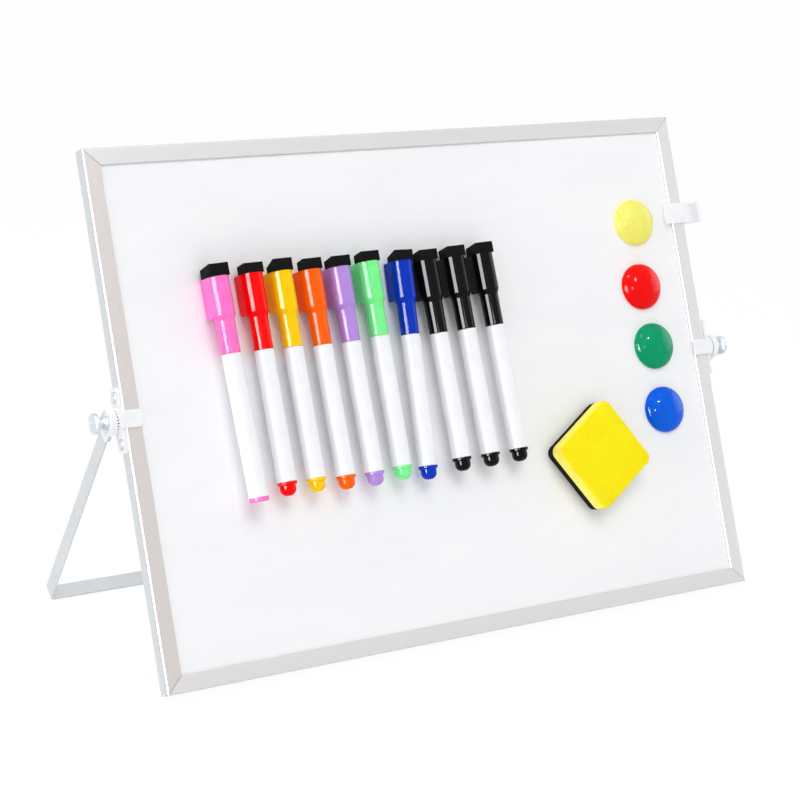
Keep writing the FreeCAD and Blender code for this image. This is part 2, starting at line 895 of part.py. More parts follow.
def point_in_world(x, y, z):
    lean, shift = stance()
    return Vector(x, y * math.cos(lean) + z * math.sin(lean) + shift.y,
                  z * math.cos(lean) - y * math.sin(lean) + shift.z)


def main():
    os.makedirs("parts", exist_ok=True)
    fixed = {}
    fixed.update(frame_rails())
    fixed.update(panel())
    fixed["corner_keys"] = corner_keys()
    bracket = pivot_bracket()
    fixed["pivot_bracket_right"] = bracket
    fixed["pivot_bracket_left"] = mirrored(bracket)
    fixed["bracket_screws"] = bracket_screws()
    fixed["thread_inserts"] = thread_inserts()
    washer = lock_washer()
    screw = thumb_screw()
    fixed["lock_washer_right"] = washer
    fixed["lock_washer_left"] = mirrored(washer)
    fixed["thumb_screw_right"] = screw
    fixed["thumb_screw_left"] = mirrored(screw)
    fixed["pen_clip"] = pen_clip()
    cap = magnet_cap()
    ferrite = magnet_ferrite()
    for colour, place in magnet_place_shares.items():
        fixed["magnet_cap_" + colour] = onto_sheet(cap, place)
        fixed["magnet_ferrite_" + colour] = onto_sheet(ferrite, place)
    fixed.update(eraser_pieces())
    fixed.update(marker_pieces())

    head = leg_head()
    leg = {
        "leg_frame": leg_frame(),
        "leg_head_right": head,
        "leg_head_left": mirrored(head),
    }

    nodes = {name: to_world(solid) for name, solid in fixed.items()}
    nodes.update({name: to_world(solid, True) for name, solid in leg.items()})
    for name, solid in nodes.items():
        solid.exportStep("parts/" + name + ".step")
        if not solid.isValid() or solid.Volume <= 0:
            print("check", name, solid.isValid(), solid.Volume)
    print(len(nodes), "nodes, lean", round(math.degrees(stance()[0]), 3))
    print("pivot", point_in_world(half_width, pivot_y, pivot_z))
    print("board corner", point_in_world(half_width, 0, 0), point_in_world(half_width, 0, board_height))


main()
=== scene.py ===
import json
import math

import bmesh
import bpy
from mathutils import Matrix, Vector


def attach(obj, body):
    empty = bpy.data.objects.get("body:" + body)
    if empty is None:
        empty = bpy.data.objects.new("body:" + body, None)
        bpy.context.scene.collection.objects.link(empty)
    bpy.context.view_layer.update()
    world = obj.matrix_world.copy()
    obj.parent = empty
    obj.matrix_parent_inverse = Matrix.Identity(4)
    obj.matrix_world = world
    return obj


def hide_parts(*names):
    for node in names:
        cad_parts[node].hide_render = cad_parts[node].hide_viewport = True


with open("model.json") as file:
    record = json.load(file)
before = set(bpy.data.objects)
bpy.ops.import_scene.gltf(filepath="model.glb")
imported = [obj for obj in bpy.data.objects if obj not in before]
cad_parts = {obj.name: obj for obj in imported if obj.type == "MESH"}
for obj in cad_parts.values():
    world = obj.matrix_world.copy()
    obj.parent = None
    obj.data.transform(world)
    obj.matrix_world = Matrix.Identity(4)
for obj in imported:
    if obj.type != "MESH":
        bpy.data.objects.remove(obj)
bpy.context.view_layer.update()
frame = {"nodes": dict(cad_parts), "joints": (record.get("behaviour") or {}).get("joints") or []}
print("frame loaded")

photoCamera = {
    "spot": (-0.63889, -1.00141, 0.51758),
    "turn": (70.6385, -3.4424, -30.6974),
    "lens": 92.921,
    "sensor": 36,
    "shiftUp": 0.0453,
    "near": 0.05,
}


def placeCamera():
    turn = [math.radians(angle) for angle in photoCamera["turn"]]
    bpy.ops.object.camera_add(location=photoCamera["spot"], rotation=turn)
    made = bpy.context.object
    made.data.lens = photoCamera["lens"]
    made.data.sensor_width = photoCamera["sensor"]
    made.data.shift_y = photoCamera["shiftUp"]
    made.data.clip_start = photoCamera["near"]
    bpy.context.scene.camera = made


placeCamera()
bpy.context.scene.view_settings.view_transform = "Standard"

# Places: every piece is drawn in millimetres near the origin and then set in its place
millimetre = 0.001
footShare = 0.8  # points of the leg beyond this share of its reach are its foot
joints = {joint["name"]: joint for joint in frame["joints"]}
across = Vector((1, 0, 0))
boardUp = Vector(joints["pen_clip_slide"]["axis"]).normalized()
boardBack = boardUp.cross(across).normalized()
pivotSpot = Vector(joints["leg_hinge"]["pos_m"])
pivotSpot.x = 0


def placeFrom(spot, ownX, ownY, ownZ):
    turn = Matrix((ownX, ownY, ownZ)).transposed().to_4x4()
    return Matrix.Translation(spot) @ turn @ Matrix.Scale(millimetre, 4)


def reach(place, *nodes):
    back = place.inverted()
    points = [back @ corner.co for node in nodes for corner in frame["nodes"][node].data.vertices]
    low = Vector([min(point[i] for point in points) for i in range(3)])
    high = Vector([max(point[i] for point in points) for i in range(3)])
    return low, high


rails = ["frame_rail_top", "frame_rail_bottom", "frame_rail_left", "frame_rail_right"]
plainPlace = placeFrom(Vector(), across, boardBack, boardUp)
railLow, railHigh = reach(plainPlace, *rails)
boardPlace = placeFrom(plainPlace @ Vector((0, railLow.y, railLow.z)), across, boardBack, boardUp)
boardWidth = railHigh.x - railLow.x
boardHeight = railHigh.z - railLow.z
halfWidth = boardWidth / 2
sheetFront = reach(boardPlace, "writing_sheet_front")[0].y

legPoints = [corner.co for corner in frame["nodes"]["leg_frame"].data.vertices]
legReach = max((point - pivotSpot).dot(-boardUp) for point in legPoints)
lowPoints = [point for point in legPoints if (point - pivotSpot).dot(-boardUp) > footShare * legReach]
legDown = sum(lowPoints, Vector()) / len(lowPoints) - pivotSpot
legDown.x = 0
legUp = -legDown.normalized()


def sidePlace(side, up):
    ownX = across * side
    return placeFrom(pivotSpot, ownX, up.cross(ownX), up)


def restingPlace(ownX, ownY, *nodes):
    # on the sheet, under the middle of the nodes
    plain = placeFrom(Vector(), ownX, ownY, -boardBack)
    low, high = reach(plain, *nodes)
    spot = Vector(((low.x + high.x) / 2, (low.y + high.y) / 2, low.z))
    return placeFrom(plain @ spot, ownX, ownY, -boardBack)


def markerPlace(colour):
    along = Vector(joints["cap_pull_" + colour]["axis"]).normalized()
    outward = -boardBack
    plain = placeFrom(Vector(), along.cross(outward), along, outward)
    low, high = reach(plain, "marker_body_" + colour)
    spot = Vector(((low.x + high.x) / 2, high.y - marker["nibReach"], (low.z + high.z) / 2))
    spot.z -= marker["axisHeight"]
    return placeFrom(plain @ spot, along.cross(outward), along, outward), low.y - spot.y


# Hand tools
overrun = 1.0  # how far a cutting shape passes what it cuts
onPlane = 0.01  # a point this near a plane lies in it
sameSpot = 0.0005  # a drawn point is found again this near its place
weldGap = 0.002  # points this near become one


def takeUp(piece):
    bpy.ops.object.select_all(action="DESELECT")
    if piece:
        piece.select_set(True)
        bpy.context.view_layer.objects.active = piece


def startEdit(piece):
    takeUp(piece)
    bpy.ops.object.mode_set(mode="EDIT")
    bpy.ops.mesh.select_all(action="DESELECT")


def stopEdit():
    bpy.ops.object.mode_set(mode="OBJECT")


def pick(kind, wanted):
    mesh = bpy.context.edit_object.data
    bpy.ops.mesh.select_mode(type=kind)
    bpy.ops.mesh.select_all(action="DESELECT")
    shape = bmesh.from_edit_mesh(mesh)
    for item in {"VERT": shape.verts, "EDGE": shape.edges, "FACE": shape.faces}[kind]:
        if wanted(item):
            item.select_set(True)
    shape.select_flush_mode()
    bmesh.update_edit_mesh(mesh)


def lies(item, axis, value):
    corners = [item] if isinstance(item, bmesh.types.BMVert) else item.verts
    return all(abs(corner.co[axis] - value) < onPlane for corner in corners)


def runsAlong(edge, axis):
    step = (edge.verts[1].co - edge.verts[0].co).normalized()
    return abs(step[axis]) > 0.999


def rounding(width, segments):
    bpy.ops.mesh.bevel(offset=width, segments=segments, profile=0.5, affect="EDGES", clamp_overlap=True)


def pushOut(step):
    bpy.ops.mesh.extrude_region_move(TRANSFORM_OT_translate={"value": step})


def tidySkin():
    bpy.ops.mesh.select_all(action="SELECT")
    bpy.ops.mesh.remove_doubles(threshold=weldGap)
    bpy.ops.mesh.normals_make_consistent(inside=False)


def setInMesh():
    bpy.ops.object.transform_apply(location=True, rotation=True, scale=True)


def newPiece():
    setInMesh()
    return bpy.context.object


def block(low, high):
    takeUp(None)
    low, high = Vector(low), Vector(high)
    bpy.ops.mesh.primitive_cube_add(size=1, location=(low + high) / 2, scale=high - low)
    return newPiece()


def rod(radius, start, end, steps=48):
    takeUp(None)
    length = end - start
    bpy.ops.mesh.primitive_cylinder_add(vertices=steps, radius=radius, depth=length,
                                        location=((start + end) / 2, 0, 0), rotation=(0, math.pi / 2, 0))
    return newPiece()


def drawnLine(points, closed):
    takeUp(None)
    bpy.ops.mesh.primitive_plane_add(size=1, location=(0, 0, 0))
    made = newPiece()
    bpy.ops.object.mode_set(mode="EDIT")
    bpy.ops.mesh.select_mode(type="VERT")
    bpy.ops.mesh.select_all(action="SELECT")
    bpy.ops.mesh.merge(type="CENTER")
    bpy.ops.transform.translate(value=points[0])
    for last, point in zip(points, points[1:]):
        bpy.ops.mesh.extrude_vertices_move(TRANSFORM_OT_translate={"value": Vector(point) - Vector(last)})
    if closed:
        ends = (Vector(points[0]), Vector(points[-1]))
        pick("VERT", lambda vert: min((vert.co - end).length for end in ends) < sameSpot)
        bpy.ops.mesh.edge_face_add()
    bpy.ops.mesh.select_all(action="SELECT")
    return made


def softCorners(corners, steps=5):
    # corners are (a, b, rounding); each rounding becomes a short run of points
    points = []
    for index, (a, b, radius) in enumerate(corners):
        here = Vector((a, b))
        if radius == 0:
            points.append(here)
            continue
        back = (Vector(corners[index - 1][:2]) - here).normalized()
        ahead = (Vector(corners[(index + 1) % len(corners)][:2]) - here).normalized()
        half = back.angle(ahead) / 2
        start = here + back * (radius / math.tan(half))
        centre = here + (back + ahead).normalized() * (radius / math.sin(half))
        sweep = (start - centre).angle_signed(here + ahead * (radius / math.tan(half)) - centre)
        for step in range(steps + 1):
            turn = Matrix.Rotation(-sweep * step / steps, 2)
            points.append(centre + turn @ (start - centre))
    return points


def arcPoints(centre, radius, first, last, steps):
    angles = [math.radians(first + (last - first) * step / steps) for step in range(steps + 1)]
    return [Vector((centre[0] + radius * math.cos(angle), centre[1] + radius * math.sin(angle)))
            for angle in angles]


def turned(profile, axis, steps, closed=False):
    # profile points are (along, radius) on the turning axis, which is 0 for x, 1 for y and 2 for z
    spots = {0: lambda a, r: (a, 0, r), 1: lambda a, r: (0, a, r), 2: lambda a, r: (r, 0, a)}[axis]
    made = drawnLine([spots(a, r) for a, r in profile], closed)
    line = [1 if index == axis else 0 for index in range(3)]
    bpy.ops.mesh.spin(steps=steps, angle=2 * math.pi, center=(0, 0, 0), axis=line)
    tidySkin()
    stopEdit()
    return made


def drawnOut(outline, axis, low, high):
    spots = {0: lambda a, b: (low, a, b), 1: lambda a, b: (a, low, b), 2: lambda a, b: (a, b, low)}[axis]
    made = drawnLine([spots(a, b) for a, b in outline], True)
    bpy.ops.mesh.edge_face_add()
    pushOut([high - low if index == axis else 0 for index in range(3)])
    tidySkin()
    stopEdit()
    return made


def useModifier(piece, kind, **settings):
    takeUp(piece)
    made = piece.modifiers.new("shaping", kind)
    for name, value in settings.items():
        setattr(made, name, value)
    bpy.ops.object.modifier_apply(modifier=made.name)
    return piece


def softEdges(piece, width, segments, angle=38):
    return useModifier(piece, "BEVEL", width=width, segments=segments, limit_method="ANGLE",
                       angle_limit=math.radians(angle), use_clamp_overlap=True)


def combine(piece, operation, tool):
    useModifier(piece, "BOOLEAN", operation=operation, solver="EXACT", object=tool)
    discard(tool)


def putTogether(*parts):
    takeUp(parts[0])
    for part in parts:
        part.select_set(True)
    bpy.ops.object.join()
    return parts[0]


def copyOf(piece):
    takeUp(piece)
    bpy.ops.object.duplicate(linked=False)
    return bpy.context.object


def discard(*shapes):
    for shape in shapes:
        bpy.data.objects.remove(shape)


def shift(piece, step):
    takeUp(piece)
    piece.location = step
    setInMesh()
    return piece


def coat(piece, finish):
    piece.data.materials.clear()
    piece.data.materials.append(finish)


def settle(piece, name, place, body, slotName, finish, nodes, smooth=38, straight=False):
    takeUp(piece)
    piece.name = name
    piece.data.name = name
    piece.matrix_world = place
    setInMesh()
    coat(piece, finish)
    bpy.ops.object.shade_smooth_by_angle(angle=math.radians(smooth))
    if straight:
        # long faces keep their own direction, so that reflections run straight along them
        useModifier(piece, "WEIGHTED_NORMAL", keep_sharp=True, weight=80)
    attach(piece, body)
    if nodes:
        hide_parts(*nodes)


# Finishes
class Wire:
    def __init__(self, tree, socket=None):
        self.tree = tree
        self.socket = socket

    def node(self, kind, settings=None, sockets=None, output=0):
        made = self.tree.nodes.new(kind)
        for name, value in (settings or {}).items():
            setattr(made, name, value)
        for name, value in (sockets or {}).items():
            if isinstance(value, Wire):
                self.tree.links.new(value.socket, made.inputs[name])
            else:
                made.inputs[name].default_value = value
        return Wire(self.tree, made.outputs[output]) if made.outputs else None

    def maths(self, operation, *values):
        return self.node("ShaderNodeMath", {"operation": operation}, dict(enumerate(values)))

    def __add__(self, other):
        return self.maths("ADD", self, other)

    def __sub__(self, other):
        return self.maths("SUBTRACT", self, other)

    def __rsub__(self, other):
        return self.maths("SUBTRACT", other, self)

    def __mul__(self, other):
        return self.maths("MULTIPLY", self, other)

    __radd__ = __add__
    __rmul__ = __mul__


def seen(red, green, blue):
    # a colour as a screen shows it, 0 to 255, turned into the light that it sends
    light = [value / 255 for value in (red, green, blue)]
    light = [value / 12.92 if value <= 0.04045 else ((value + 0.055) / 1.055) ** 2.4 for value in light]
    return (*light, 1)


def emptyBench(owner):
    owner.use_nodes = True
    owner.node_tree.nodes.clear()
    return Wire(owner.node_tree)


def newFinish(name, place):
    finish = bpy.data.materials.new(name)
    bench = emptyBench(finish)
    spot, turn, size = place.decompose()
    objectSpot = bench.node("ShaderNodeTexCoord", None, None, "Object")
    own = bench.node("ShaderNodeMapping", {"vector_type": "TEXTURE"},
                     {"Vector": objectSpot, "Location": spot, "Rotation": turn.to_euler(), "Scale": size})
    return finish, own


def closeFinish(bench, sockets):
    shader = bench.node("ShaderNodeBsdfPrincipled", None, sockets)
    bench.node("ShaderNodeOutputMaterial", None, {"Surface": shader})


def stretched(own, x, y, z):
    return own.node("ShaderNodeVectorMath", {"operation": "MULTIPLY"}, {0: own, 1: (x, y, z)})


def cloud(own, scale, detail, rough=0.5, distortion=0.0):
    return own.node("ShaderNodeTexNoise", None, {"Vector": own, "Scale": scale, "Detail": detail,
                                                 "Roughness": rough, "Distortion": distortion})


def mixed(factor, first, second):
    return factor.node("ShaderNodeMix", {"data_type": "RGBA"}, {0: factor, 6: first, 7: second}, 2)


def ramp(value, low, high, lowValue=0.0, highValue=1.0):
    return value.node("ShaderNodeMapRange", None, {"Value": value, "From Min": low, "From Max": high,
                                                   "To Min": lowValue, "To Max": highValue})


def relief(height, strength, depth):
    return height.node("ShaderNodeBump", None, {"Height": height, "Strength": strength, "Distance": depth})


def ownPart(own, axis):
    return own.node("ShaderNodeSeparateXYZ", None, {"Vector": own}, axis)


def fromAxis(own):
    # distance from the piece's own x axis
    return own.node("ShaderNodeVectorMath", {"operation": "LENGTH"}, {0: stretched(own, 0, 1, 1)}, 1)


def brushedFinish(name, place, colour, shade):
    # satin aluminium, brushed along its own x, duller on its edge, with a painted cooler reflection on the
    # faces behind the front face
    finish, own = newFinish(name, place)
    lines = cloud(stretched(own, 0.02, 2.6, 2.6), 1.0, 3.0, 0.6)
    haze = cloud(stretched(own, 0.5, 1.1, 1.1), 1.0, 4.0, 0.65)
    deep = ownPart(own, 1)
    edge = ramp(deep, 0.1, 0.4) * ramp(deep, 1.6, 1.2)
    face = mixed(ramp(haze, 0.3, 0.7), colour, shade)
    closeFinish(own, {
        "Base Color": mixed(ramp(deep, 0.5, 1.3), face, rail["paintedFlankTint"]),
        "Metallic": ramp(edge, 0.0, 1.0, 0.32, 0.1),
        "Roughness": ramp(lines, 0.25, 0.75, 0.27, 0.3),
        "Normal": relief(lines, 0.06, 0.00003),
    })
    return finish


def enamelFinish(name, place, colour, shade):
    finish, own = newFinish(name, place)
    ripple = cloud(own, 0.05, 2.0, 0.45)
    wiped = cloud(stretched(own, 0.012, 0.03, 0.03), 1.0, 3.0, 0.6, 0.6)
    closeFinish(own, {
        "Base Color": mixed(ramp(wiped, 0.35, 0.7), colour, shade),
        "Roughness": ramp(wiped, 0.3, 0.7, 0.11, 0.15),
        "IOR": 1.5,
        "Normal": relief(ripple, 0.12, 0.0002),
    })
    return finish


def mouldedFinish(name, place, colour, shade, roughness, grain, shine=0.3, paintedShade=None):
    # moulded plastic: slight flow in the colour, fine surface grain
    finish, own = newFinish(name, place)
    flow = cloud(stretched(own, 0.16, 0.07, 0.16), 1.0, 2.0, 0.5, 0.4)
    skin = cloud(own, 1.4, 3.0, 0.6)
    body = mixed(ramp(flow, 0.3, 0.7), colour, shade)
    # a mask of painted shade darkens the colour where shade falls
    if paintedShade:
        body = mixed(paintedShade(own), body, teeth["grooveShade"])
    closeFinish(own, {
        "Base Color": body,
        "Roughness": ramp(skin, 0.3, 0.7, roughness - 0.015, roughness + 0.02),
        "IOR": 1.49,
        "Specular IOR Level": shine,
        "Normal": relief(skin, grain, 0.00004),
    })
    return finish


def shadeBetweenTeeth(own):
    # painted shade in the grooves at the joint's plane, below the outer surface of the two rings
    plane = halfWidth + bracket["bossReach"] + teeth["gap"] / 2
    aside = own.maths("ABSOLUTE", ownPart(own, 0) - plane)
    rim = bracket["bossRadius"]
    inside = ramp(fromAxis(own), rim - teeth["grooveShadeTop"], rim - teeth["grooveShadeDeep"])
    return ramp(aside, teeth["grooveShadeFar"], teeth["grooveShadeNear"]) * inside


def headPaintedShade(own):
    # painted shade in the grooves, and a faint painted shadow on the tab below the ring
    low, fade = -head["radius"], head["shadowFade"]
    below = ramp(ownPart(own, 2), low + fade, low - fade)
    inside = ramp(ownPart(own, 0), slotInner, slotInner - fade / 2)
    return own.maths("MAXIMUM", shadeBetweenTeeth(own), below * inside * head["tabShadow"])


def paintFinish(name, place, colour, shade):
    # powder paint on the steel leg: orange-peel skin
    finish, own = newFinish(name, place)
    peel = cloud(own, 0.9, 3.0, 0.55)
    patch = cloud(own, 0.06, 2.0)
    closeFinish(own, {
        "Base Color": mixed(ramp(patch, 0.3, 0.7), colour, shade),
        "Roughness": ramp(peel, 0.3, 0.7, 0.34, 0.46),
        "IOR": 1.5,
        "Normal": relief(peel, 0.2, 0.00006),
    })
    return finish


def zincFinish(name, place, colour, shade, roughness, turnedLines, metallic):
    # bright zinc plate over machined steel, with turning marks round its own x
    finish, own = newFinish(name, place)
    blotch = cloud(own, 0.5, 3.0, 0.6)
    grooves = own.maths("SINE", fromAxis(own) * 18.0 + blotch * 2.0)
    height = grooves * 0.3 + blotch if turnedLines else blotch
    closeFinish(own, {
        "Base Color": mixed(ramp(blotch, 0.35, 0.65), colour, shade),
        "Metallic": metallic,
        "Roughness": ramp(blotch, 0.3, 0.7, roughness, roughness + 0.12),
        "Normal": relief(height, 0.04, 0.00003),
    })
    return finish


def feltFinish(name, place, colour, fibre):
    finish, own = newFinish(name, place)
    strands = cloud(stretched(own, 1.0, 0.6, 1.0), 2.2, 5.0, 0.75, 1.2)
    tufts = cloud(own, 0.55, 3.0, 0.6, 0.5)
    closeFinish(own, {
        "Base Color": mixed(ramp(strands, 0.42, 0.72), colour, fibre),
        "Roughness": 0.96,
        "Specular IOR Level": 0.04,
        "Sheen Weight": 0.02,
        "Sheen Roughness": 0.6,
        "Normal": relief(strands + tufts, 0.9, 0.00035),
    })
    return finish


def foamFinish(name, place):
    # open-cell foam: fine pores with painted shade inside each, and paler sides
    finish, own = newFinish(name, place)
    pores = own.node("ShaderNodeTexVoronoi", {"feature": "SMOOTH_F1"},
                     {"Vector": own, "Scale": 1.25, "Smoothness": 0.35, "Randomness": 1.0}, "Distance")
    fine = cloud(own, 2.4, 4.0, 0.65)
    patch = cloud(own, 0.09, 2.0)
    cell = ramp(pores, 0.15, 0.75)
    face = mixed(ramp(patch, 0.3, 0.7), *eraser["colours"])
    top = 2 * eraser["layer"] + eraser["foam"]
    upper = ramp(ownPart(own, 2), top - eraser["fadeDeep"], top - eraser["fadeTop"])
    body = mixed(upper, eraser["sides"], face)
    closeFinish(own, {
        "Base Color": mixed(cell * 0.3, body, eraser["poreShade"]),
        "Roughness": 0.86,
        "Specular IOR Level": 0.08,
        "Normal": relief(fine * 0.5 - cell, 0.55, 0.00022),
    })
    return finish


def plainFinish(name, place, colour, shade, roughness, metallic=0.0, scale=0.4):
    finish, own = newFinish(name, place)
    grain = cloud(own, scale, 4.0, 0.6)
    closeFinish(own, {
        "Base Color": mixed(ramp(grain, 0.35, 0.65), colour, shade),
        "Metallic": metallic,
        "Roughness": ramp(grain, 0.3, 0.7, roughness - 0.05, roughness + 0.06),
        "Normal": relief(grain, 0.2, 0.0001),
    })
    return finish


whitePlastic = {
    "colour": seen(244, 245, 247),
    "shade": seen(240, 241, 244),
    "roughness": 0.4,
    "grain": 0.06,
    "shine": 0.04,
}

# Frame rails
rail = {
    "face": 10.1,
    "depth": 10.5,
    "wall": 1.3,
    "edgeRound": 1.2,
    "lipRound": 0.7,
    "mitreGap": 0.14,
    "mitreRound": 0.18,
    # each rail's tone is the one aluminium as it is lit on that side: painted light and shade per rail
    "colours": {
        "bottom": (seen(215, 213, 212), seen(219, 218, 217)),
        "left": (seen(205, 199, 197), seen(210, 204, 202)),
        "top": (seen(211, 211, 211), seen(216, 216, 216)),
        "right": (seen(216, 217, 217), seen(221, 222, 222)),
    },
    # painted reflection: a cooler tint on the faces behind the front face
    "paintedFlankTint": seen(208, 213, 217),
}


def frameRail(length):
    # drawn along x, with the frame's outer side down at z = 0 and its front at y = 0
    made = block((0, 0, 0), (length, rail["depth"], rail["face"]))
    startEdit(made)
    pick("FACE", lambda face: lies(face, 2, rail["face"]))
    bpy.ops.mesh.inset(thickness=rail["wall"], use_even_offset=True)
    pushOut((0, 0, rail["wall"] - rail["face"]))
    pick("EDGE", lambda edge: runsAlong(edge, 0) and lies(edge, 2, 0))
    rounding(rail["edgeRound"], 6)
    pick("EDGE", lambda edge: runsAlong(edge, 0) and lies(edge, 2, rail["face"])
         and (lies(edge, 1, 0) or lies(edge, 1, rail["depth"])))
    rounding(rail["lipRound"], 3)
    for x, slope in ((rail["mitreGap"], 1), (length - rail["mitreGap"], -1)):
        bpy.ops.mesh.select_all(action="SELECT")
        bpy.ops.mesh.bisect(plane_co=(x, 0, 0), plane_no=(-slope, 0, 1), use_fill=True, clear_outer=True)
    tidySkin()
    stopEdit()
    return softEdges(made, rail["mitreRound"], 2, 42)


railRuns = {  # where each rail starts, its way, the way to the board's middle and its length
    "bottom": ((-halfWidth, 0, 0), (1, 0, 0), (0, 0, 1), boardWidth),
    "top": ((halfWidth, 0, boardHeight), (-1, 0, 0), (0, 0, -1), boardWidth),
    "left": ((-halfWidth, 0, boardHeight), (0, 0, -1), (1, 0, 0), boardHeight),
    "right": ((halfWidth, 0, 0), (0, 0, 1), (-1, 0, 0), boardHeight),
}
boardTurn = boardPlace.to_3x3().normalized()
for side, (corner, along, inward, length) in railRuns.items():
    place = placeFrom(boardPlace @ Vector(corner), boardTurn @ Vector(along), boardBack,
                      boardTurn @ Vector(inward))
    satin = brushedFinish("brushedRailShadedPerSide." + side, place, *rail["colours"][side])
    settle(frameRail(length), "rail." + side, place, "board", "satin_aluminium", satin,
           ["frame_rail_" + side], 30, True)
print("rails done")

# Board panel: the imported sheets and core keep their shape
enamel = (seen(247, 247, 249), seen(243, 244, 247))
panelFinishes = {
    "writing_sheet_front": enamelFinish("enamelFront", boardPlace, *enamel),
    "writing_sheet_back": enamelFinish("enamelBack", boardPlace, *enamel),
    "board_core": plainFinish("coreBoard", boardPlace, seen(214, 200, 172), seen(190, 172, 140), 0.85),
    "corner_keys": mouldedFinish("keyPlastic", boardPlace, seen(40, 41, 43), seen(58, 59, 62), 0.5, 0.2),
    "thread_inserts": plainFinish("insertBrass", boardPlace, seen(206, 176, 108), seen(186, 152, 84),
                                  0.3, 1.0),
}
for node, finish in panelFinishes.items():
    coat(frame["nodes"][node], finish)

# Pivot brackets, drawn for the right side with the origin on the pivot
bracket = {
    "plate": 2.0,
    "length": 36.5,
    "corner": 3.8,
    "tongueReach": 10.9,
    "tongueWidth": 9.7,
    "tongueThick": 2.2,
    "tongueCorner": 2.2,
    "tongueRound": 0.7,
    "tongueOuter": 2.64,
    "bossRadius": 7.4,
    "bossReach": 4.4,
    "screwApart": 13.1,
    "recessRadius": 3.25,
    "recessDepth": 1.2,
    "edge": 0.45,
}
teeth = {
    "count": 26,
    "depth": 0.75,
    "inner": 4.9,
    "gap": 0.1,
    "tip": 0.04,
    "floorShare": 1.1,  # how deep the ring's middle is, to the depth of its teeth
    "stepsEach": 4,
    "slackShare": 0.05,
    # painted shade: the colour put in the grooves between the teeth, and faintly on the head's tab
    "grooveShade": seen(96, 91, 88),
    "grooveShadeTop": 0.12,  # below the ring's rim, where the painted shade in the grooves starts
    "grooveShadeDeep": 0.45,
    "grooveShadeNear": 0.8,  # from the joint's plane, where it starts to fade
    "grooveShadeFar": 0.86,
}


def toothedRod(radius, start, end, toothedAt):
    # a short rod whose end face at toothedAt carries a crown of radial teeth
    into = 1 if toothedAt == start else -1
    toothedAt -= into * teeth["tip"]
    start, end = min(start, toothedAt), max(end, toothedAt)
    made = rod(radius, start, end, teeth["count"] * teeth["stepsEach"])
    startEdit(made)
    pick("FACE", lambda face: lies(face, 0, toothedAt))
    bpy.ops.mesh.inset(thickness=radius - teeth["inner"])
    pushOut((into * teeth["depth"] * teeth["floorShare"], 0, 0))
    step = 2 * math.pi / teeth["count"]

    def inGroove(vert):
        offset = math.atan2(vert.co.z, vert.co.y) / step
        return lies(vert, 0, toothedAt) and abs(offset - round(offset)) < teeth["slackShare"]

    pick("VERT", inGroove)
    bpy.ops.transform.translate(value=(into * teeth["depth"], 0, 0))
    tidySkin()
    stopEdit()
    return made


def pivotBracket():
    half = bracket["length"] / 2
    deep = rail["depth"] / 2
    outer = halfWidth + bracket["plate"]
    plate = block((halfWidth, -deep, -half), (outer, deep, half))
    startEdit(plate)
    pick("EDGE", lambda edge: runsAlong(edge, 0))
    rounding(bracket["corner"], 8)
    stopEdit()
    for side in (-1, 1):
        recess = rod(bracket["recessRadius"], outer - bracket["recessDepth"], outer + overrun)
        combine(plate, "DIFFERENCE", shift(recess, (0, 0, side * bracket["screwApart"])))
    softEdges(plate, bracket["edge"], 3, 50)
    parts = [plate]
    wide = bracket["tongueWidth"] / 2
    for front in (-1, 1):
        near = front * deep
        far = front * (deep + bracket["tongueThick"])
        tongue = block((halfWidth - bracket["tongueReach"], min(near, far), -wide),
                       (halfWidth + bracket["tongueOuter"], max(near, far), wide))
        startEdit(tongue)
        pick("EDGE", lambda edge: runsAlong(edge, 1) and lies(edge, 0, halfWidth - bracket["tongueReach"]))
        rounding(bracket["tongueCorner"], 6)
        pick("EDGE", lambda edge: lies(edge, 1, far))
        rounding(bracket["tongueRound"], 4)
        stopEdit()
        parts.append(tongue)
    face = halfWidth + bracket["bossReach"]
    parts.append(toothedRod(bracket["bossRadius"], halfWidth, face, face))
    return putTogether(*parts)


screwSize = {
    "radius": 2.8,
    "height": 1.7,
    "round": 0.7,
    "slot": 3.2,
    "slotWide": 0.7,
    "slotDeep": 0.8,
    "edge": 0.08,
    "colours": (seen(206, 210, 214), seen(215, 218, 222)),
}


def crossScrew():
    seat = halfWidth + bracket["plate"] - bracket["recessDepth"]
    top = seat + screwSize["height"]
    outline = softCorners([(seat, 0, 0), (seat, screwSize["radius"], 0),
                           (top, screwSize["radius"], screwSize["round"]), (top, 0, 0)])
    made = turned(outline, 0, 40)
    floor = top - screwSize["slotDeep"]
    long, thin = screwSize["slot"] / 2, screwSize["slotWide"] / 2
    for wide, high in ((long, thin), (thin, long)):
        combine(made, "DIFFERENCE", block((floor, -wide, -high), (top + overrun, wide, high)))
    return softEdges(made, screwSize["edge"], 2, 50)


sides = {"right": 1, "left": -1}
bracketShape = pivotBracket()
screwShape = crossScrew()
screwParts = []
for side, sign in sides.items():
    place = sidePlace(sign, boardUp)
    white = mouldedFinish("bracketWhite." + side, place, paintedShade=shadeBetweenTeeth, **whitePlastic)
    settle(copyOf(bracketShape), "pivotBracket." + side, place, "board", "white_plastic",
           white, ["pivot_bracket_" + side], 38, True)
    for up in (-1, 1):
        screw = shift(copyOf(screwShape), (0, 0, up * bracket["screwApart"]))
        takeUp(screw)
        screw.matrix_world = place
        setInMesh()
        screwParts.append(screw)
screws = putTogether(*screwParts)
screwZinc = zincFinish("screwZinc", sidePlace(1, boardUp), *screwSize["colours"], 0.36, False, 0.15)
settle(screws, "bracketScrews", Matrix.Identity(4), "board", "zinc_steel", screwZinc, ["bracket_screws"])
discard(bracketShape, screwShape)
print("brackets done")

